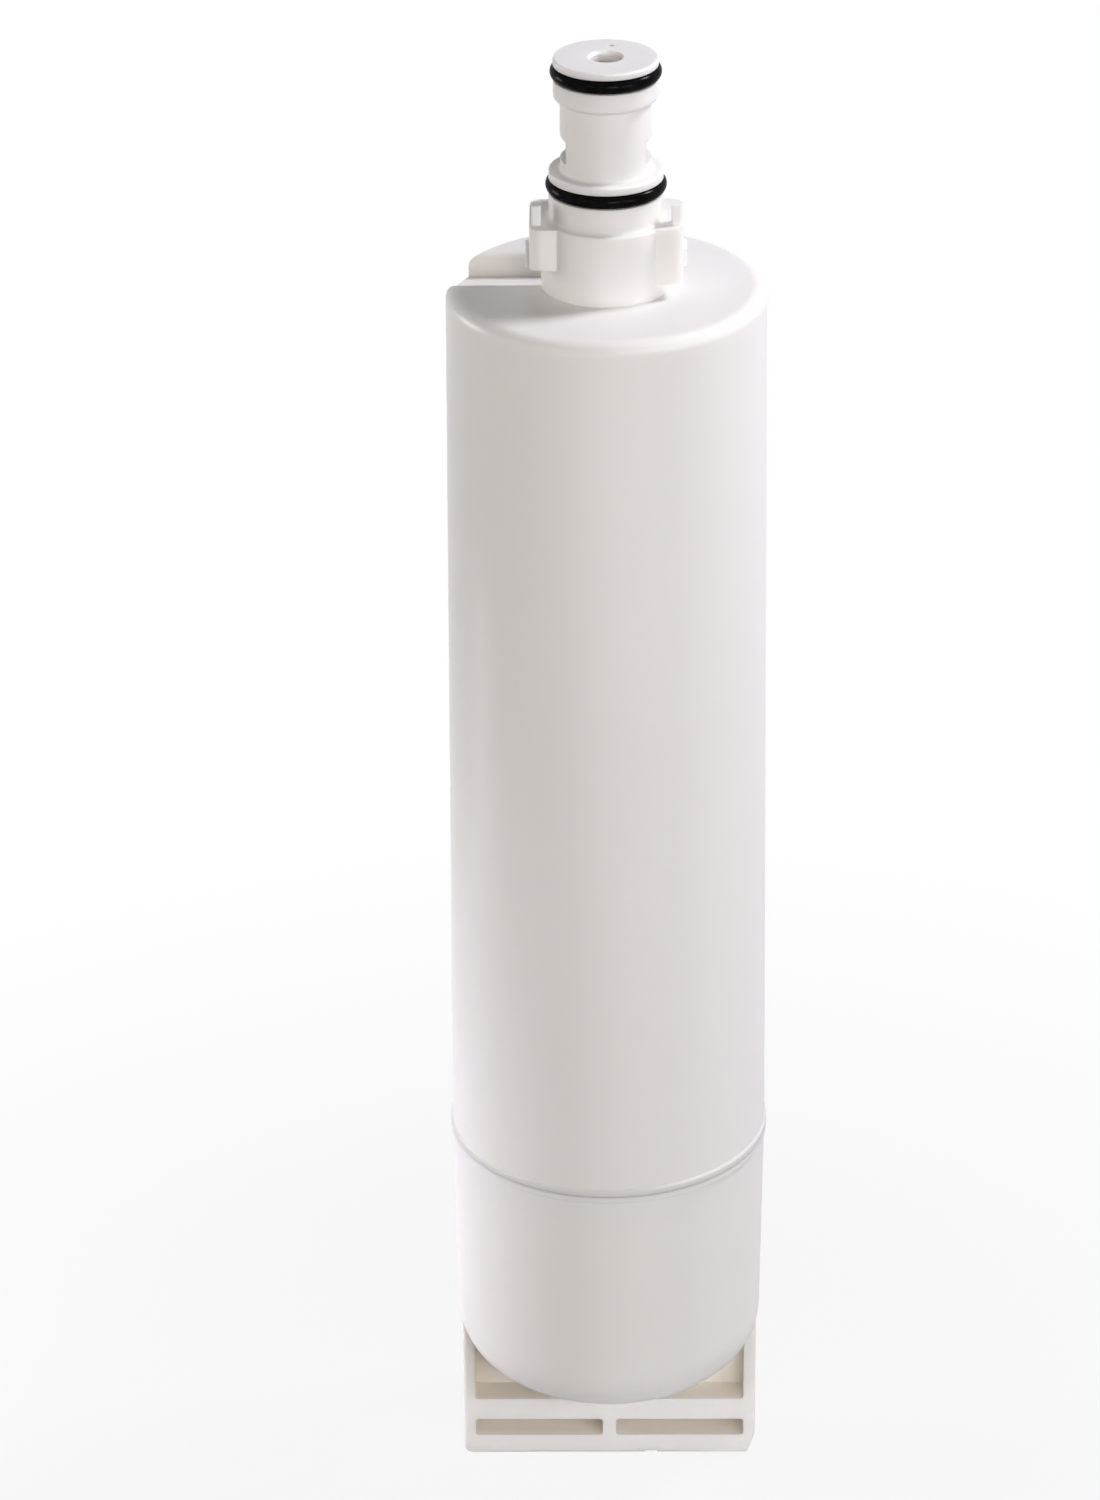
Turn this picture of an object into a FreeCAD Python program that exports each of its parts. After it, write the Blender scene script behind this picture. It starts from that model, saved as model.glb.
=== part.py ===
# Fridge water filter cartridge: a sealed, moulded cartridge that is pushed into a filter head and turned.
# Millimetres. Z is the cartridge's axis, the origin is the middle of the foot's underside, and the front is -Y.
import FreeCAD, Part
import Sketcher
import math
import os

doc = FreeCAD.newDocument("filter_cartridge")

# Driving dimensions
SIZES = {
    # Rail foot, moulded under the cup
    "foot_inset": 0.6,
    "foot_depth": 15.0,
    "foot_wall": 2.4,
    "foot_web": 2.4,
    "foot_rib": 2.7,
    "foot_rise": 32.0,
    "base_plate": 4.5,
    "rail_slot": 3.9,
    "rail_plate": 4.9,
    "grip_gap": 8.7,
    "foot_corner": 0.8,
    "cell_round": 0.6,
    "heel_round": 1.7,
    "heel_cut": 1.8,
    "heel_cut_height": 5.0,
    "mark_width": 2.5,
    "mark_height": 0.7,
    "mark_offset": 8.6,
    # Lower cup
    "cup_height": 54.5,
    "cup_taper": 0.8,
    "cup_edge_round": 12.0,
    "cup_wall": 3.0,
    "cup_floor": 3.4,
    # Welded seam
    "seam_radius": 31.4,
    "bead_rise": 0.35,
    "bead_height": 1.2,
    "tongue_length": 6.0,
    "mouth_wall": 1.4,
    "weld_play": 0.1,
    # Barrel and shoulder
    "barrel_height": 180.5,
    "barrel_taper": 1.3,
    "barrel_wall": 3.0,
    "shoulder_thickness": 8.0,
    "rim_round": 2.6,
    "notch_width": 15.0,
    "notch_depth": 4.6,
    "notch_round": 1.2,
    # Collar and bayonet lugs
    "collar_step": 1.5,
    "collar_height": 13.7,
    "collar_round": 0.4,
    "collar_wall": 2.5,
    "lug_rise": 2.05,
    "lug_width": 16.2,
    "lug_height": 8.0,
    "lug_ramp": 2.8,
    "lug_round": 2.4,
    "nub_rise": 0.8,
    "nub_width": 5.0,
    "nub_height": 3.5,
    "tab_inset": 0.4,
    "tab_thickness": 1.8,
    "tab_setback": 2.6,
    "tab_depth": 2.3,
    "tab_height": 3.8,
    "tab_round": 0.4,
    # Spigot, from the collar to the top
    "land_height": 4.9,
    "lower_flange": 1.6,
    "waist_step": 1.25,
    "waist_wall": 1.5,
    "waist_height": 7.4,
    "window_sill": 2.2,
    "window_height": 4.1,
    "window_width": 8.4,
    "window_slope": 1.2,
    "window_clear": 0.4,
    "lip_height": 3.9,
    "lip_round": 1.0,
    "disc_height": 1.3,
    "disc_round": 0.4,
    "root_round": 0.6,
    "gate_back": 6.0,
    "gate_side": 1.0,
    "gate_radius": 0.6,
    "gate_depth": 0.3,
    # Spigot seals
    "ring_section": 2.62,
    "lower_ring_radius": 9.99,
    "upper_ring_radius": 9.05,
    "ring_play": 0.08,
    "ring_proud": 0.58,
    # Outlet tube, from the top disc down to the socket for the element's nipple
    "outlet_radius": 2.85,
    "outlet_wall": 1.75,
    "outlet_lead": 0.5,
    "tube_drop": 8.0,
    "socket_radius": 5.2,
    "socket_wall": 2.0,
    "socket_depth": 18.0,
    # Filter element
    "water_gap": 0.8,
    "block_bore": 6.6,
    "wrap_thickness": 0.6,
    "liner_thickness": 0.6,
    "cap_plate": 3.0,
    "cap_skirt": 5.0,
    "cap_wall": 1.2,
    "cap_gap": 1.5,
    "element_play": 0.05,
    "nipple_play": 0.2,
    "nipple_bore": 2.4,
    "nipple_length": 14.0,
    "seal_section": 1.5,
    "seal_play": 0.05,
    "seal_from_tip": 4.0,
    "stand_width": 3.0,
}

sheet = doc.addObject("Spreadsheet::Sheet", "sizes")
for row, (alias, millimetres) in enumerate(SIZES.items(), start=1):
    sheet.set(f"A{row}", alias)
    sheet.set(f"B{row}", str(millimetres))
    sheet.setAlias(f"B{row}", alias)
doc.recompute()


class Size:
    """A length that keeps its number beside the text that binds it to the sheet."""

    def __init__(self, text, number):
        self.text = text
        self.number = number

    def join(self, sign, other, number):
        return Size(f"({self.text} {sign} {other.text})", number)

    def __add__(self, other):
        other = as_size(other)
        return self.join("+", other, self.number + other.number)

    def __sub__(self, other):
        other = as_size(other)
        return self.join("-", other, self.number - other.number)

    def __mul__(self, other):
        other = as_size(other)
        return self.join("*", other, self.number * other.number)

    def __truediv__(self, other):
        other = as_size(other)
        return self.join("/", other, self.number / other.number)

    def __neg__(self):
        return Size(f"(0 - {self.text})", -self.number)


def as_size(value):
    return value if isinstance(value, Size) else Size(repr(value), float(value))


def size(alias):
    return Size(f"sizes.{alias}", sheet.get(alias))


def smaller(one, other):
    return Size(f"min({one.text}; {other.text})", min(one.number, other.number))


def bind(feature, path, length):
    feature.setExpression(path, length.text)


def new_body(label):
    body = doc.addObject("PartDesign::Body", label)
    body.Label = label
    return body


def origin_part(body, role):
    return next(part for part in body.Origin.OriginFeatures if part.Role == role)


def new_sketch(body, name, role, level=None):
    """A sketch on one of the body's own planes, lifted along the plane's normal to a level."""
    sketch = body.newObject("Sketcher::SketchObject", name)
    sketch.AttachmentSupport = [(origin_part(body, role), "")]
    sketch.MapMode = "FlatFace"
    if level is not None:
        bind(sketch, "AttachmentOffset.Base.z", level)
    return sketch


def constrain(sketch, rules):
    """Adds constraints given as (constraint arguments, size or None) and binds the sized ones."""
    first = sketch.ConstraintCount
    sketch.addConstraint([Sketcher.Constraint(*args) for args, length in rules])
    for index, (args, length) in enumerate(rules, start=first):
        if length is not None:
            bind(sketch, f"Constraints[{index}]", length)


def place_point(geometry, end, x, y):
    """Rules that hold a point of a sketch at x, y from the sketch's origin."""
    rules = []
    for kind, axis, length in (("DistanceX", -2, x), ("DistanceY", -1, y)):
        if length.number == 0:
            rules.append((("PointOnObject", geometry, end, axis), None))
        else:
            rules.append(((kind, -1, 1, geometry, end, length.number), length))
    return rules


def add_outline(sketch, corners):
    """A closed outline of straight lines. A corner is (x, y), or (x, y, radius) where it is rounded."""
    corners = [tuple(as_size(value) for value in corner) for corner in corners]
    count = len(corners)
    points = [FreeCAD.Vector(corner[0].number, corner[1].number, 0) for corner in corners]
    arrive, leave, middles = list(points), list(points), {}
    for index, corner in enumerate(corners):
        if len(corner) == 3:
            back = (points[index - 1] - points[index]).normalize()
            ahead = (points[(index + 1) % count] - points[index]).normalize()
            half = back.getAngle(ahead) / 2
            setback = corner[2].number / math.tan(half)
            arrive[index] = points[index] + back * setback
            leave[index] = points[index] + ahead * setback
            middles[index] = points[index] + (back + ahead).normalize() * (corner[2].number / math.sin(half))
    first = sketch.GeometryCount
    sketch.addGeometry([Part.LineSegment(leave[i], arrive[(i + 1) % count]) for i in range(count)], False)
    rules = []
    for index, corner in enumerate(corners):
        line_in, line_out = first + (index - 1) % count, first + index
        if index not in middles:
            rules.append((("Coincident", line_in, 2, line_out, 1), None))
            rules += place_point(line_out, 1, corner[0], corner[1])
            continue
        middle = middles[index]
        turns_left = (points[index] - points[index - 1]).cross(points[(index + 1) % count] - points[index]).z > 0
        start, stop = (arrive[index], leave[index]) if turns_left else (leave[index], arrive[index])
        angles = [math.atan2(point.y - middle.y, point.x - middle.x) for point in (start, stop)]
        circle = Part.Circle(middle, FreeCAD.Vector(0, 0, 1), corner[2].number)
        arc = sketch.addGeometry(Part.ArcOfCircle(circle, angles[0], angles[1]), False)
        apex = sketch.addGeometry(Part.Point(points[index]), True)
        arc_in, arc_out = (1, 2) if turns_left else (2, 1)
        rules.append((("Tangent", line_in, 2, arc, arc_in), None))
        rules.append((("Tangent", arc, arc_out, line_out, 1), None))
        rules.append((("Radius", arc, corner[2].number), corner[2]))
        rules.append((("PointOnObject", apex, 1, line_in), None))
        rules.append((("PointOnObject", apex, 1, line_out), None))
        rules += place_point(apex, 1, corner[0], corner[1])
    constrain(sketch, rules)


def add_circle(sketch, x, y, radius):
    middle = FreeCAD.Vector(x.number, y.number, 0)
    circle = sketch.addGeometry(Part.Circle(middle, FreeCAD.Vector(0, 0, 1), radius.number), False)
    constrain(sketch, [(("Radius", circle, radius.number), radius)] + place_point(circle, 3, x, y))


def rectangle(left, right, low, high, *radius):
    """Corners of a rectangle, all rounded where a radius is given."""
    return [(left, low, *radius), (right, low, *radius), (right, high, *radius), (left, high, *radius)]


def turned(body, kind, name, corners):
    """A Revolution or Groove of a section drawn as (radius, height) about the cartridge's axis."""
    sketch = new_sketch(body, f"{name}_section", "XZ_Plane")
    add_outline(sketch, corners)
    feature = body.newObject(f"PartDesign::{kind}", name)
    feature.Profile = sketch
    feature.ReferenceAxis = (sketch, ["V_Axis"])
    feature.Angle = 360
    sketch.Visibility = False
    return feature


def raised(body, kind, name, sketch, length, midplane=False):
    """A Pad or Pocket of a sketch."""
    feature = body.newObject(f"PartDesign::{kind}", name)
    feature.Profile = sketch
    bind(feature, "Length", length)
    feature.Midplane = midplane
    return feature


def around(body, name, feature, copies):
    """Copies of a feature, evenly spaced about the cartridge's axis."""
    pattern = body.newObject("PartDesign::PolarPattern", name)
    pattern.Originals = [feature]
    pattern.Axis = (origin_part(body, "Z_Axis"), [""])
    pattern.Angle = 360
    pattern.Occurrences = copies
    body.Tip = pattern
    return pattern


def mirrored(body, name, feature, role):
    """A copy of a feature on the other side of one of the body's planes."""
    mirror = body.newObject("PartDesign::Mirrored", name)
    mirror.Originals = [feature]
    mirror.MirrorPlane = (origin_part(body, role), [""])
    body.Tip = mirror
    return mirror


def rounded(body, name, feature, chosen, radius):
    """A fillet on those edges of a feature that the chosen test picks."""
    doc.recompute()
    names = [f"Edge{i}" for i, edge in enumerate(feature.Shape.Edges, start=1) if chosen(edge)]
    fillet = body.newObject("PartDesign::Fillet", name)
    fillet.Base = (feature, names)
    bind(fillet, "Radius", radius)
    return fillet


def runs_along(edge, direction):
    """True for a straight edge in a direction."""
    return isinstance(edge.Curve, Part.Line) and abs(edge.Curve.Direction.dot(direction)) > 0.999


def is_at_reach(edge, reach):
    """True for an edge whose middle lies at a distance from the YZ plane."""
    return abs(abs(edge.CenterOfMass.x) - reach.number) < 0.01


def torus(label, radius, section, height):
    ring = doc.addObject("Part::Torus", label)
    ring.Label = label
    bind(ring, "Radius1", radius)
    bind(ring, "Radius2", section / 2)
    bind(ring, "Placement.Base.z", height)
    return ring


ALONG_Z = FreeCAD.Vector(0, 0, 1)

# Levels up the cartridge, each stacked on the one below
slot_low = size("base_plate")
slot_high = slot_low + size("rail_slot")
rail_top = slot_high + size("rail_plate")
cup_underside = rail_top + size("grip_gap")
seam = cup_underside + size("cup_height")
shoulder = seam + size("barrel_height")
collar_top = shoulder + size("collar_height")
groove_width = size("ring_section") + size("ring_play") * 2
lower_groove_low = collar_top + size("land_height")
lower_groove_high = lower_groove_low + groove_width
flange_top = lower_groove_high + size("lower_flange")
window_low = flange_top + size("window_sill")
window_high = window_low + size("window_height")
lip_low = window_high + size("waist_height")
upper_groove_low = lip_low + size("lip_height")
upper_groove_high = upper_groove_low + groove_width
top = upper_groove_high + size("disc_height")

# Levels and radii that pieces share where they fit together
barrel_top_radius = size("seam_radius") - size("barrel_taper")
cup_low_radius = size("seam_radius") - size("cup_taper")
bead_radius = size("seam_radius") + size("bead_rise")
tongue_low = seam - size("tongue_length")
mouth_radius = size("seam_radius") - size("mouth_wall")
tongue_radius = mouth_radius - size("weld_play")
barrel_inside_low = size("seam_radius") - size("barrel_wall")
barrel_inside_high = barrel_top_radius - size("barrel_wall")
shoulder_underside = shoulder - size("shoulder_thickness")
lower_land = size("lower_ring_radius") + size("ring_section") / 2 - size("ring_proud")
upper_land = size("upper_ring_radius") + size("ring_section") / 2 - size("ring_proud")
collar_radius = lower_land + size("collar_step")
waist_radius = upper_land - size("waist_step")
tube_low = shoulder_underside - size("tube_drop")
tube_radius = size("outlet_radius") + size("outlet_wall")
socket_outside = size("socket_radius") + size("socket_wall")
socket_top = tube_low + size("socket_depth")
cup_inside_floor = cup_underside + size("cup_floor")
cup_inside_radius = cup_low_radius - size("cup_wall")
cup_inside_round = size("cup_edge_round") - size("cup_wall")
lower_plate_low = cup_inside_floor + cup_inside_round
block_low = lower_plate_low + size("cap_plate")
upper_plate_high = tube_low - size("cap_gap")
block_high = upper_plate_high - size("cap_plate")


def groove_floor(ring_radius):
    """Radius of the floor of a seal's groove: the ring's inside less its play."""
    return ring_radius - size("ring_section") / 2 - size("ring_play")


def make_upper_housing():
    """Barrel, shoulder, bayonet lugs and spigot, moulded in one piece."""
    body = new_body("upper_housing")
    turned(body, "Revolution", "barrel", [
        (0, tongue_low),
        (tongue_radius, tongue_low),
        (tongue_radius, seam),
        (bead_radius, seam),
        (bead_radius, seam + size("bead_height")),
        (size("seam_radius"), seam + size("bead_height") + size("bead_rise")),
        (barrel_top_radius, shoulder, size("rim_round")),
        (0, shoulder),
    ])

    # One notch in the shoulder keys the cartridge to the stop of its filter head. Its upper edges are rounded over.
    notch_floor = shoulder - size("notch_depth")
    edge, far = size("notch_round"), size("notch_width")
    section = new_sketch(body, "notch_section", "YZ_Plane", -collar_radius / 2)
    add_outline(section, [
        (0, notch_floor),
        (far, notch_floor),
        (far, shoulder, edge),
        (far + edge * 2, shoulder),
        (far + edge * 2, shoulder + edge),
        (-edge * 2, shoulder + edge),
        (-edge * 2, shoulder),
        (0, shoulder, edge),
    ])
    raised(body, "Pocket", "notch", section, size("seam_radius"))

    lower_floor = groove_floor(size("lower_ring_radius"))
    upper_floor = groove_floor(size("upper_ring_radius"))
    turned(body, "Revolution", "spigot", [
        (0, notch_floor - edge),
        (collar_radius, notch_floor - edge),
        (collar_radius, collar_top, size("collar_round")),
        (lower_land, collar_top, size("root_round")),
        (lower_land, lower_groove_low),
        (lower_floor, lower_groove_low),
        (lower_floor, lower_groove_high),
        (lower_land, lower_groove_high),
        (lower_land, flange_top, size("disc_round")),
        (waist_radius, flange_top, size("root_round")),
        (waist_radius, lip_low, size("root_round")),
        (upper_land, lip_low, size("lip_round")),
        (upper_land, upper_groove_low),
        (upper_floor, upper_groove_low),
        (upper_floor, upper_groove_high),
        (upper_land, upper_groove_high),
        (upper_land, top, size("disc_round")),
        (0, top),
    ])

    # Bayonet lugs: the underside of each is a ramp that draws the cartridge up as it turns, and a nub clicks home.
    ramp_high = collar_top - size("lug_height")
    ramp_low = ramp_high - size("lug_ramp")
    lug_reach, lug_half = collar_radius + size("lug_rise"), size("lug_width") / 2
    section = new_sketch(body, "lug_section", "YZ_Plane", collar_radius / 2)
    add_outline(section, [
        (-lug_half, ramp_low),
        (lug_half, ramp_high),
        (lug_half, collar_top),
        (-lug_half, collar_top),
    ])
    lug = raised(body, "Pad", "lug", section, lug_reach - collar_radius / 2)
    lugs = around(body, "lugs", lug, 2)
    rounded(body, "lug_corners", lugs, lambda edge: runs_along(edge, ALONG_Z) and is_at_reach(edge, lug_reach),
            size("lug_round"))
    nub_half = size("nub_width") / 2
    plan = new_sketch(body, "nub_plan", "XY_Plane", ramp_low + size("lug_ramp") / 2)
    add_outline(plan, [
        (collar_radius, -nub_half),
        (lug_reach + size("nub_rise"), -nub_half, size("nub_rise") / 2),
        (lug_reach + size("nub_rise"), nub_half, size("nub_rise") / 2),
        (collar_radius, nub_half),
    ])
    nub = raised(body, "Pad", "nub", plan, size("nub_height"))
    around(body, "nubs", nub, 2)

    # A tab stands on each lug, near its outer edge and behind its front.
    tab_outside = lug_reach - size("tab_inset")
    tab_front = size("tab_setback") - lug_half
    plan = new_sketch(body, "tab_plan", "XY_Plane", collar_top)
    add_outline(plan, rectangle(tab_outside - size("tab_thickness"), tab_outside,
                                tab_front, tab_front + size("tab_depth"), size("tab_round")))
    mirrored(body, "tabs", raised(body, "Pad", "tab", plan, size("tab_height")), "YZ_Plane")

    # The chamber for the element, and the inlet channel around the outlet tube.
    channel_low = collar_radius - size("collar_wall")
    channel_high = waist_radius - size("waist_wall")
    channel_top = window_high + size("waist_wall")
    turned(body, "Groove", "chamber", [
        (0, tongue_low - size("tongue_length")),
        (barrel_inside_low, tongue_low - size("tongue_length")),
        (barrel_inside_low, seam),
        (barrel_inside_high, shoulder_underside),
        (channel_low, shoulder_underside),
        (channel_low, collar_top),
        (channel_high, collar_top + size("collar_wall")),
        (channel_high, channel_top),
        (tube_radius, channel_top),
        (tube_radius, socket_top + size("socket_wall") * 2),
        (socket_outside, socket_top + size("socket_wall")),
        (socket_outside, tube_low),
        (0, tube_low),
    ])
    turned(body, "Groove", "outlet", [
        (0, tube_low - size("tube_drop")),
        (size("socket_radius"), tube_low - size("tube_drop")),
        (size("socket_radius"), socket_top),
        (size("outlet_radius"), socket_top),
        (size("outlet_radius"), top - size("outlet_lead")),
        (size("outlet_radius") + size("outlet_lead"), top),
        (size("outlet_radius") + size("outlet_lead"), top + size("disc_height")),
        (0, top + size("disc_height")),
    ])

    # The dimple that the mould's gate left in the top disc.
    gate = new_sketch(body, "gate_plan", "XY_Plane", top)
    add_circle(gate, size("gate_side"), size("gate_back"), size("gate_radius"))
    raised(body, "Pocket", "gate_mark", gate, size("gate_depth"))

    # Inlet windows through both sides of the waist, with a sloping upper edge.
    side = new_sketch(body, "window_side", "XZ_Plane")
    add_outline(side, [
        (tube_radius + size("window_clear"), window_low),
        (upper_land, window_low),
        (upper_land, window_high + size("window_slope")),
        (channel_high, window_high),
        (tube_radius + size("window_clear"), window_high),
    ])
    window = raised(body, "Pocket", "window", side, size("window_width"), midplane=True)
    around(body, "windows", window, 2)
    return body


def make_lower_cup():
    """Closed cup with the rail foot under it, moulded in one piece."""
    body = new_body("lower_cup")
    half_width, half_depth = cup_low_radius - size("foot_inset"), size("foot_depth") / 2
    front = new_sketch(body, "foot_front", "XZ_Plane")
    add_outline(front, [
        (-half_width, 0, size("heel_round")),
        (half_width - size("heel_cut"), 0),
        (half_width, size("heel_cut_height")),
        (half_width, size("foot_rise")),
        (-half_width, size("foot_rise")),
    ])
    block = raised(body, "Pad", "foot_block", front, size("foot_depth"), midplane=True)
    rounded(body, "foot_corners", block, lambda edge: runs_along(edge, ALONG_Z), size("foot_corner"))

    # Rail slots and grip hollows, sunk from the front and the back to the web between them.
    cells = new_sketch(body, "foot_cells", "XZ_Plane", half_depth)
    inner, rib = half_width - size("foot_wall"), size("foot_rib") / 2
    corner = size("cell_round")
    add_outline(cells, rectangle(-inner, -rib, slot_low, slot_high, corner))
    add_outline(cells, rectangle(rib, inner, slot_low, slot_high, corner))
    add_outline(cells, rectangle(-inner, inner, rail_top, size("foot_rise") + size("foot_wall"), corner))
    hollow = raised(body, "Pocket", "foot_hollows", cells, half_depth - size("foot_web") / 2)
    mirrored(body, "foot_both_sides", hollow, "XZ_Plane")

    # A small mark in the lower front edge.
    mark = new_sketch(body, "foot_mark", "XZ_Plane", half_depth)
    mark_left = size("mark_offset") - size("mark_width") / 2
    add_outline(mark, rectangle(mark_left, mark_left + size("mark_width"), as_size(0), size("mark_height")))
    raised(body, "Pocket", "mark", mark, size("mark_width"))

    turned(body, "Revolution", "cup", [
        (0, cup_underside),
        (cup_low_radius, cup_underside, size("cup_edge_round")),
        (size("seam_radius"), seam - size("bead_height") - size("bead_rise")),
        (bead_radius, seam - size("bead_height")),
        (bead_radius, seam),
        (0, seam),
    ])
    inside_high = size("seam_radius") - size("cup_wall")
    mouth_floor = tongue_low - size("weld_play")
    turned(body, "Groove", "cup_inside", [
        (0, cup_inside_floor),
        (cup_inside_radius, cup_inside_floor, cup_inside_round),
        (inside_high, mouth_floor),
        (mouth_radius, mouth_floor),
        (mouth_radius, seam + size("tongue_length")),
        (0, seam + size("tongue_length")),
    ])
    return body


def make_element():
    """The filter element: carbon block, fleeces, end caps and the nipple's seal."""
    play = size("element_play")
    skirt_outside = smaller(cup_inside_radius, barrel_inside_high) - size("water_gap")
    skirt_inside = skirt_outside - size("cap_wall")
    wrap_outside = skirt_inside - play
    wrap_inside = wrap_outside - size("wrap_thickness")
    block_radius = wrap_inside - play
    liner_outside = size("block_bore") - play
    liner_inside = liner_outside - size("liner_thickness")

    tubes = (
        ("carbon_block", size("block_bore"), block_radius),
        ("fleece_wrap", wrap_inside, wrap_outside),
        ("core_liner", liner_inside, liner_outside),
    )
    pieces = []
    for label, inside, outside in tubes:
        body = new_body(label)
        turned(body, "Revolution", f"{label}_wall", rectangle(inside, outside, block_low, block_high))
        pieces.append(body)

    nipple_radius = size("socket_radius") - size("nipple_play")
    nipple_top = upper_plate_high + size("nipple_length")
    seal_level = nipple_top - size("seal_from_tip")
    seal_radius = size("socket_radius") - size("seal_play") - size("seal_section") / 2
    seal_floor = seal_radius - size("seal_section") / 2 - size("seal_play")
    seal_half = size("seal_section") / 2 + size("seal_play")
    upper_cap = new_body("upper_end_cap")
    turned(upper_cap, "Revolution", "upper_cap_section", [
        (size("nipple_bore"), block_high),
        (skirt_inside, block_high),
        (skirt_inside, block_high - size("cap_skirt")),
        (skirt_outside, block_high - size("cap_skirt")),
        (skirt_outside, upper_plate_high),
        (nipple_radius, upper_plate_high),
        (nipple_radius, seal_level - seal_half),
        (seal_floor, seal_level - seal_half),
        (seal_floor, seal_level + seal_half),
        (nipple_radius, seal_level + seal_half),
        (nipple_radius, nipple_top),
        (size("nipple_bore"), nipple_top),
    ])
    seal = torus("nipple_o_ring", seal_radius, size("seal_section"), seal_level)

    lower_cap = new_body("lower_end_cap")
    turned(lower_cap, "Revolution", "lower_cap_section", [
        (0, lower_plate_low),
        (skirt_outside, lower_plate_low),
        (skirt_outside, block_low + size("cap_skirt")),
        (skirt_inside, block_low + size("cap_skirt")),
        (skirt_inside, block_low),
        (0, block_low),
    ])
    plan = new_sketch(lower_cap, "stand_plan", "XY_Plane", cup_inside_floor)
    half = size("stand_width") / 2
    stand_end = cup_inside_radius - cup_inside_round - half
    add_outline(plan, rectangle(size("block_bore"), stand_end, -half, half))
    stand = raised(lower_cap, "Pad", "stand", plan, cup_inside_round)
    around(lower_cap, "stands", stand, 4)
    return pieces + [upper_cap, seal, lower_cap]


nodes = [make_upper_housing(), make_lower_cup()]
nodes.append(torus("spigot_o_ring_upper", size("upper_ring_radius"), size("ring_section"),
                   (upper_groove_low + upper_groove_high) / 2))
nodes.append(torus("spigot_o_ring_lower", size("lower_ring_radius"), size("ring_section"),
                   (lower_groove_low + lower_groove_high) / 2))
nodes += make_element()
doc.recompute()

for item in doc.Objects:
    if "Invalid" in item.State or "Error" in item.State:
        raise RuntimeError(f"{item.Name} failed: {item.State}")
for node in nodes:
    if node.Shape.isNull() or not node.Shape.isValid() or len(node.Shape.Solids) != 1:
        raise RuntimeError(f"{node.Label} is not one valid solid")

os.makedirs("parts", exist_ok=True)
for node in nodes:
    node.Shape.exportStep(f"parts/{node.Label}.step")
    print(node.Label, round(node.Shape.Volume / 1000, 2), "cm3")
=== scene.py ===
import math

import bpy
from mathutils import Matrix, Vector


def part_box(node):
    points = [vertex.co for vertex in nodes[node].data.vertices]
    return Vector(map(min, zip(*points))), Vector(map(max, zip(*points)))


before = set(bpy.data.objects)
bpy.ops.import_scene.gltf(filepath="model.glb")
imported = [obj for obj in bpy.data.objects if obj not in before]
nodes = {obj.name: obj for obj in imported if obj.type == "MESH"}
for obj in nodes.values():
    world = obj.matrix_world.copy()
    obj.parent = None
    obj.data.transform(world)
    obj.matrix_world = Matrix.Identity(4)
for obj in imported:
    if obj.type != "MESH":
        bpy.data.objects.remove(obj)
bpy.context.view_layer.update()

# Carbon block, the heart of the cartridge: a thick tube of activated carbon grains.
# The grains are pressed and sintered with a little binder, so the tube is black, dull and crumbly.
# Water seeps through its wall from the outside to the bore.


class Field:
    """A value that changes over a surface. Sums and products of fields add Math nodes to their tree."""

    def __init__(self, tree, socket):
        self.tree = tree
        self.socket = socket

    def node(self, kind, settings, inputs, output=0):
        """Any other node: its type, its settings, which are set first, and its sockets' values or links."""
        made = self.tree.nodes.new(kind)
        for name, value in settings.items():
            setattr(made, name, value)
        for name, value in inputs.items():
            if isinstance(value, Field):
                self.tree.links.new(value.socket, made.inputs[name])
            else:
                made.inputs[name].default_value = value
        return Field(self.tree, made.outputs[output]) if made.outputs else None

    def math(self, operation, first, second):
        return self.node("ShaderNodeMath", {"operation": operation}, {0: first, 1: second})

    def __add__(self, other):
        return self.math("ADD", self, other)

    def __radd__(self, other):
        return self.math("ADD", other, self)

    def __sub__(self, other):
        return self.math("SUBTRACT", self, other)

    def __rsub__(self, other):
        return self.math("SUBTRACT", other, self)

    def __mul__(self, other):
        return self.math("MULTIPLY", self, other)

    def __rmul__(self, other):
        return self.math("MULTIPLY", other, self)

    def highest(self, *others):
        """The highest of this field and some others."""
        top = self
        for other in others:
            top = self.math("MAXIMUM", top, other)
        return top

    def ramp(self, low, high):
        """0 below low and 1 above high, with a soft step between."""
        return self.node("ShaderNodeMapRange", {"interpolation_type": "SMOOTHSTEP"},
                         {"Value": self, "From Min": low, "From Max": high})

    def colour(self, at_zero, at_one):
        """A blend of two colours."""
        return self.node("ShaderNodeMix", {"data_type": "RGBA"},
                         {0: self, 6: (*at_zero, 1.0), 7: (*at_one, 1.0)}, output=2)

    def blend(self, base, tint):
        """A colour field, multiplied by a tint where this field is 1."""
        return self.node("ShaderNodeMix", {"data_type": "RGBA", "blend_type": "MULTIPLY"},
                         {0: self, 6: base, 7: (*tint, 1.0)}, output=2)

    def off_middle(self, axis):
        """How far these coordinates lie from zero along one axis."""
        along = self.node("ShaderNodeSeparateXYZ", {}, {"Vector": self}, output=axis)
        return self.node("ShaderNodeMath", {"operation": "ABSOLUTE"}, {0: along})

    def stretched(self, x, y, z):
        """These coordinates, multiplied along each axis."""
        return self.node("ShaderNodeVectorMath", {"operation": "MULTIPLY"}, {0: self, 1: (x, y, z)})

    def noise(self, per_metre, detail=2.0):
        """Soft noise over these coordinates."""
        return self.node("ShaderNodeTexNoise", {}, {"Vector": self, "Scale": per_metre, "Detail": detail})


def new_finish(name):
    """A material with an empty tree, and the coordinates of the cartridge's own frame in it."""
    material = bpy.data.materials.new(name)
    material.use_nodes = True
    material.node_tree.nodes.clear()
    start = Field(material.node_tree, None)
    return material, start.node("ShaderNodeTexCoord", {}, {}, output="Object")


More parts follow.
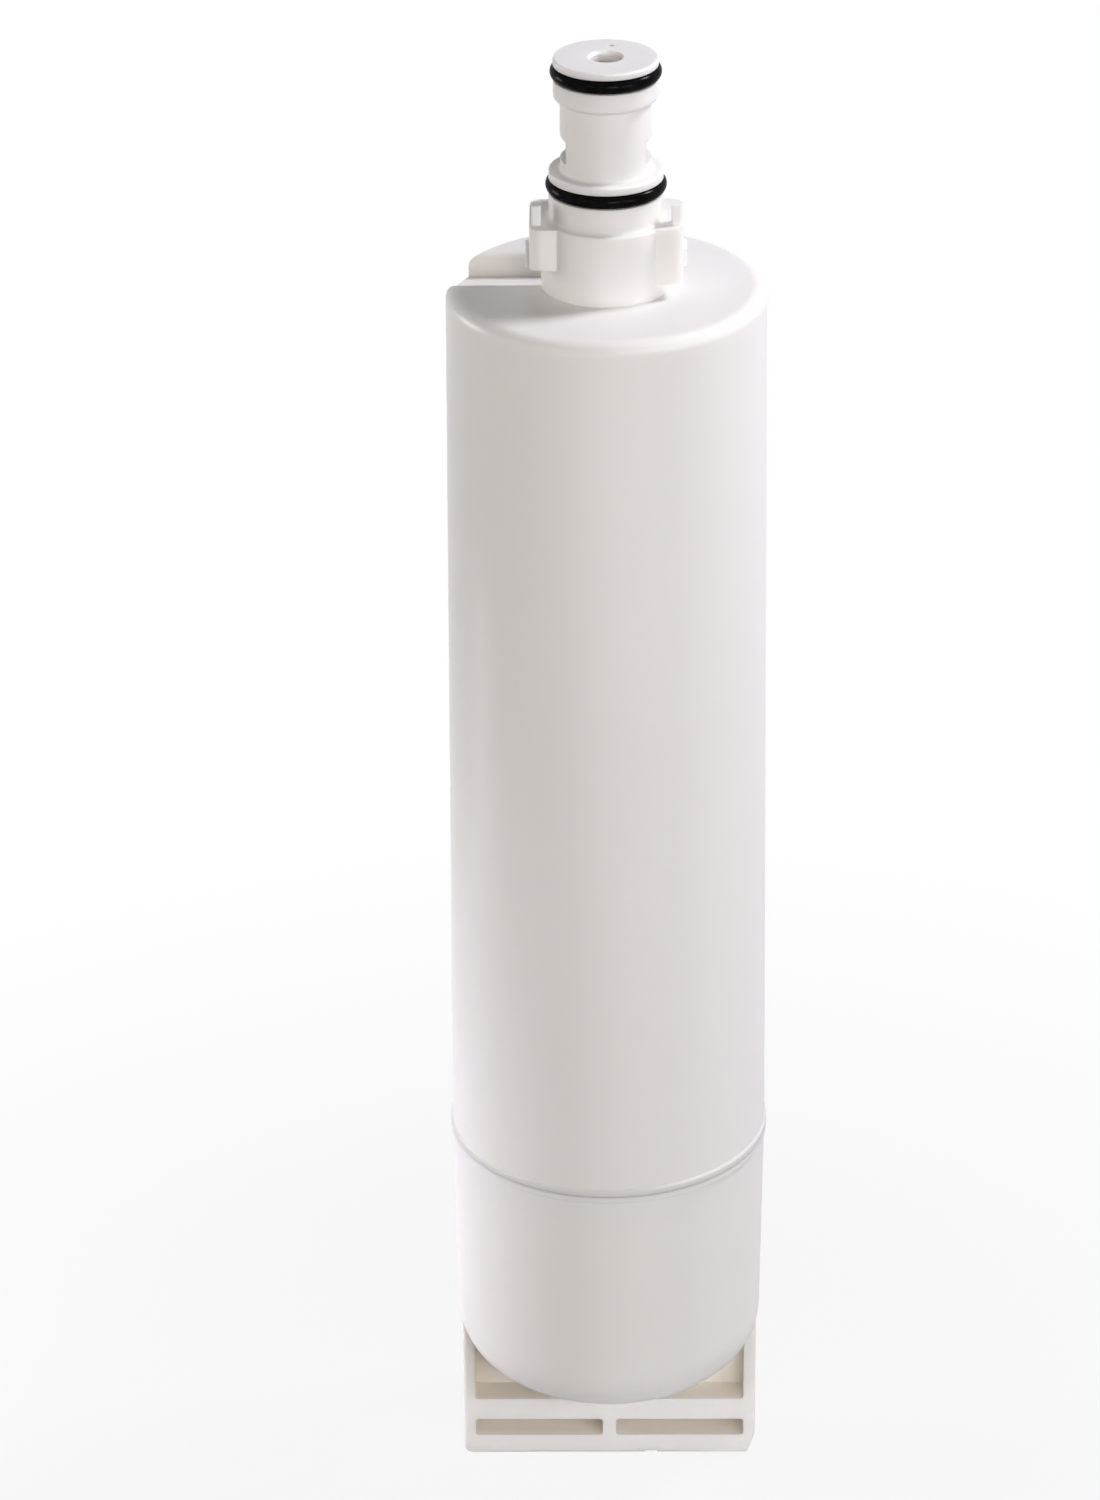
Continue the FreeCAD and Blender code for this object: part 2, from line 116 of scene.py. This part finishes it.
def coat_over(place, height, depth, **looks):
    """The shader that ends a finish: a height from 0 to 1, its depth in metres, and the other sockets."""
    normal = place.node("ShaderNodeBump", {}, {"Strength": 1.0, "Distance": depth, "Height": height})
    inputs = {name.replace("_", " "): value for name, value in looks.items()}
    shader = place.node("ShaderNodeBsdfPrincipled", {}, {**inputs, "Normal": normal})
    place.node("ShaderNodeOutputMaterial", {}, {"Surface": shader})


def dress(material, *names):
    """Gives solids of the frame their finish."""
    for name in names:
        nodes[name].material_slots[0].material = material


carbon_black, carbon_dust = (0.012, 0.012, 0.013), (0.045, 0.044, 0.043)
grains_per_metre = 1400.0
clumps_per_metre = grains_per_metre / 9
grain_depth = 0.00035

carbon, place = new_finish("pressed_carbon")
grain = place.node("ShaderNodeTexVoronoi", {"feature": "F1"}, {"Vector": place, "Scale": grains_per_metre})
clumps = place.noise(clumps_per_metre)
coat_over(place, (1 - grain) * 0.7 + clumps * 0.3, grain_depth,
          Base_Color=(grain * clumps).ramp(0.05, 0.5).colour(carbon_black, carbon_dust),
          Roughness=0.78 + clumps * 0.2)
dress(carbon, "carbon_block")


# Fleeces on both sides of the block: a wrap that keeps dirt off it, and a liner in its bore
# that keeps carbon dust out of the water. Both are white spun-bonded polypropylene,
# fine fibres laid every way and welded in small points.

fibre_white, fibre_shade = (0.83, 0.83, 0.81), (0.62, 0.62, 0.6)
fibres_per_metre = 900.0
fibre_detail = 4.0
fibre_depth = 0.00012
fibre_lays = ((1.0, 1.0, 0.12), (0.2, 0.2, 1.0), (1.0, 0.3, 0.35))

fleece, place = new_finish("filter_fleece")
strands = [place.stretched(*lay).noise(fibres_per_metre, fibre_detail) for lay in fibre_lays]
mat = strands[0].highest(*strands[1:])
coat_over(place, mat, fibre_depth,
          Base_Color=mat.ramp(0.45, 0.75).colour(fibre_shade, fibre_white),
          Roughness=0.95 - mat * 0.1,
          Sheen_Weight=0.25)
dress(fleece, "fleece_wrap", "core_liner")


# End caps of the element: two plates of white moulded polypropylene, glued on the block's ends,
# with a skirt over the fleece. The upper one carries the nipple that plugs into the outlet tube,
# and the lower one stands on four feet in the cup.

cap_white, cap_shade = (0.8, 0.79, 0.76), (0.76, 0.75, 0.72)
flow_per_metre, flow_draw = 55.0, 0.12
cloud_per_metre = 24.0
peel_per_metre = 1600.0
white_bleed = (1.0, 0.94, 0.85)
plastic_shine = 0.28


def moulded(name, pale, deep, peel_depth, satin, glow, reach, where=None, tint=None):
    """White moulded polypropylene: a fine peel, faint flow marks, and light that sinks in a little."""
    material, place = new_finish(name)
    flow = place.stretched(1.0, 1.0, flow_draw).noise(flow_per_metre, detail=3.0)
    cloud = place.noise(cloud_per_metre)
    peel = place.noise(peel_per_metre, detail=3.0)
    tone = (cloud * 0.6 + flow * 0.4).ramp(0.3, 0.7).colour(deep, pale)
    # A tint here paints light or shade where asked: bounce light inside the foot, shade on the weld bead.
    if where:
        tone = where(place).blend(tone, tint)
    coat_over(place, peel * 0.75 + flow * 0.25, peel_depth,
              Base_Color=tone,
              Roughness=satin + (flow - 0.5) * 0.06 + (peel - 0.5) * 0.04,
              Subsurface_Weight=glow,
              Subsurface_Radius=white_bleed,
              Subsurface_Scale=reach,
              Specular_IOR_Level=plastic_shine)
    return material


dress(moulded("cap_plastic", cap_white, cap_shade, peel_depth=0.00004, satin=0.5, glow=0.1, reach=0.002),
      "upper_end_cap", "lower_end_cap")


# Lower cup, with the rail foot moulded under it. One piece of white polypropylene with a satin skin,
# and painted ivory bounce light inside the foot. Its mouth takes the barrel's tongue and is spin-welded to
# it.

cup_white, cup_deep = (0.875, 0.86, 0.828), (0.86, 0.842, 0.805)
# Painted bounce light: an ivory tint on the walls inside the foot.
painted_bounce_tint = (1.03, 0.995, 0.94)
foot_end, foot_face, foot_top = 0.0285, 0.0072, 0.022
recess_edge = 0.001


def in_the_foot(place):
    """1 on the walls inside the rail foot, where bounce light is painted."""
    return ((1 - place.off_middle("X").ramp(foot_end - recess_edge, foot_end))
            * (1 - place.off_middle("Y").ramp(foot_face - recess_edge, foot_face))
            * (1 - place.off_middle("Z").ramp(foot_top - recess_edge, foot_top)))


dress(moulded("cup_plastic", cup_white, cup_deep, peel_depth=0.000012, satin=0.34, glow=0.7, reach=0.0018,
              where=in_the_foot, tint=painted_bounce_tint),
      "lower_cup")


# Upper housing: barrel, shoulder, bayonet lugs and spigot, moulded in one piece of the cup's polypropylene.
# The plastic ran in along a core, which left faint flow marks down the barrel,
# and the bead at its lower end has painted shade that makes it a little darker.

housing_white, housing_deep = (0.875, 0.86, 0.835), (0.86, 0.842, 0.815)
# Painted shade: the bead at the seam is tinted darker.
bead_painted_shade_tint = (0.9, 0.9, 0.89)
bead_height, bead_edge = 0.00155, 0.0002
seam_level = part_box("lower_cup")[1][2]
bead_top = seam_level + bead_height


def on_the_bead(place):
    """1 on the bead at the seam, where shade is painted."""
    return 1 - place.off_middle("Z").ramp(bead_top - bead_edge, bead_top)


dress(moulded("housing_plastic", housing_white, housing_deep, peel_depth=0.000012, satin=0.325, glow=0.6,
              reach=0.002, where=on_the_bead, tint=bead_painted_shade_tint),
      "upper_housing")


# Seals: two O-rings in the spigot's grooves and a small one on the element's nipple.
# Black nitrile rubber, pressed in two halves and greased with silicone, so they shine.

rubber_black, rubber_worn = (0.0015, 0.0015, 0.0015), (0.003, 0.003, 0.003)
smears_per_metre = 420.0
skin_per_metre, skin_depth = 5200.0, 0.00001

rubber, place = new_finish("seal_rubber")
smear = place.noise(smears_per_metre)
coat_over(place, place.noise(skin_per_metre, detail=3.0), skin_depth,
          Base_Color=smear.ramp(0.35, 0.7).colour(rubber_black, rubber_worn),
          Roughness=0.2 + smear * 0.14,
          Specular_IOR_Level=0.01,
          Coat_Weight=0.04 + 0.03 * smear.ramp(0.4, 0.6),
          Coat_Roughness=0.04)
dress(rubber, "spigot_o_ring_upper", "spigot_o_ring_lower", "nipple_o_ring")


# Floor: a wide pale sheet that the cartridge stands on. To the camera it is white,
# and only around the foot it keeps part of its own shade, so that the cartridge's shadow shows on it.

floor_half = 3.0
floor_white = (0.46, 0.45, 0.44, 1.0)
floor_keeps_shade = 0.11
shade_near, shade_far = 0.06, 0.3

scene = bpy.context.scene
floor_mesh = bpy.data.meshes.new("floor")
floor_mesh.from_pydata([(-floor_half, -floor_half, 0), (floor_half, -floor_half, 0),
                        (floor_half, floor_half, 0), (-floor_half, floor_half, 0)], [], [(0, 1, 2, 3)])
floor = bpy.data.objects.new("floor", floor_mesh)
scene.collection.objects.link(floor)


def seen(start):
    """1 where the camera looks, also by way of a mirror or glass, and 0 for light on the cartridge."""
    ways = [start.node("ShaderNodeLightPath", {}, {}, output=f"Is {way} Ray")
            for way in ("Camera", "Glossy", "Transmission")]
    return ways[0].highest(*ways[1:])


paper, place = new_finish("floor_paper")
from_foot = place.node("ShaderNodeVectorMath", {"operation": "LENGTH"}, {0: place}, output="Value")
keeps = (1 - from_foot.ramp(shade_near, shade_far)) * floor_keeps_shade
shade = place.node("ShaderNodeBsdfDiffuse", {}, {"Color": floor_white})
white = place.node("ShaderNodeEmission", {}, {"Strength": 1.0})
sheet = place.node("ShaderNodeMixShader", {}, {0: seen(place) * (1 - keeps), 1: shade, 2: white})
place.node("ShaderNodeOutputMaterial", {}, {"Surface": sheet})
floor_mesh.materials.append(paper)


# Light: a faint glow of the room, and a small key high at the right for the spigot's shadow.
# Panels in front, at the left and at the right shape the barrel, and one far at the left gives it an edge.
# A card beside the foot lifts the cup's left side, and a low panel the foot's front.

room_white, room_glow = (1.0, 1.0, 1.0, 1.0), 0.08

world = bpy.data.worlds.new("room")
world.use_nodes = True
world.node_tree.nodes.clear()
start = Field(world.node_tree, None)
brightness = room_glow + seen(start) * (1 - room_glow)
sky = start.node("ShaderNodeBackground", {}, {"Color": room_white, "Strength": brightness})
start.node("ShaderNodeOutputWorld", {}, {"Surface": sky})
scene.world = world


def lamp(name, spot, aim, watts, width, height, tint, beam=180):
    """A soft lamp that faces a point of the cartridge. Its beam is an angle in degrees."""
    data = bpy.data.lights.new(name, "AREA")
    data.shape = "RECTANGLE"
    data.size, data.size_y = width, height
    data.energy = watts
    data.color = tint
    data.spread = math.radians(beam)
    light = bpy.data.objects.new(name, data)
    facing = (Vector(aim) - Vector(spot)).to_track_quat("-Z", "Y")
    light.matrix_world = Matrix.Translation(spot) @ facing.to_matrix().to_4x4()
    scene.collection.objects.link(light)


spigot_aim, barrel_aim, cup_aim, sole_aim = (0, 0, 0.27), (0, 0, 0.17), (0, 0, 0.05), (0, 0, 0.006)
warm_white = (1.0, 0.93, 0.87)

lamp("key", spot=(0.4, 0.162, 0.687), aim=spigot_aim, watts=3.35, width=0.13, height=0.13,
     tint=(0.93, 0.92, 1.0))
lamp("front_panel", spot=(0.21, -0.8, 0.46), aim=barrel_aim, watts=2.72, width=0.3, height=0.3,
     tint=warm_white)
lamp("left_panel", spot=(-0.47, -0.74, 0.5), aim=barrel_aim, watts=0.72, width=0.3, height=0.3,
     tint=warm_white)
lamp("right_panel", spot=(0.67, -0.71, 0.42), aim=barrel_aim, watts=2.8, width=0.35, height=0.35,
     tint=(0.84, 0.88, 1.0))
lamp("edge", spot=(-0.8, 0.26, 0.3), aim=barrel_aim, watts=3.0, width=0.3, height=0.3,
     tint=(1.0, 0.96, 0.97))
lamp("card", spot=(-0.28, 0.042, 0.055), aim=cup_aim, watts=0.045, width=0.08, height=0.08,
     tint=(0.87, 0.86, 1.0), beam=58)
lamp("low_panel", spot=(-0.12, -0.5, 0.02), aim=sole_aim, watts=0.0028, width=0.16, height=0.02,
     tint=(0.84, 0.9, 1.0), beam=5)


# Camera: a long lens in front of the cartridge, looking down on it.
# Its turn and roll set the cartridge a little right of the frame's middle, and almost upright.

camera_place = Vector((0.0, -0.9577, 0.6429))
camera_pitch, camera_turn, camera_roll = math.radians(26.795), math.radians(0.672), math.radians(-0.46)
camera_lens = 132.0

camera_data = bpy.data.cameras.new("camera")
camera_data.lens = camera_lens
camera = bpy.data.objects.new("camera", camera_data)
camera.matrix_world = (Matrix.Translation(camera_place)
                       @ Matrix.Rotation(camera_turn, 4, "Z")
                       @ Matrix.Rotation(math.pi / 2 - camera_pitch, 4, "X")
                       @ Matrix.Rotation(camera_roll, 4, "Z"))
scene.collection.objects.link(camera)
scene.camera = camera
scene.view_settings.view_transform = "Standard"
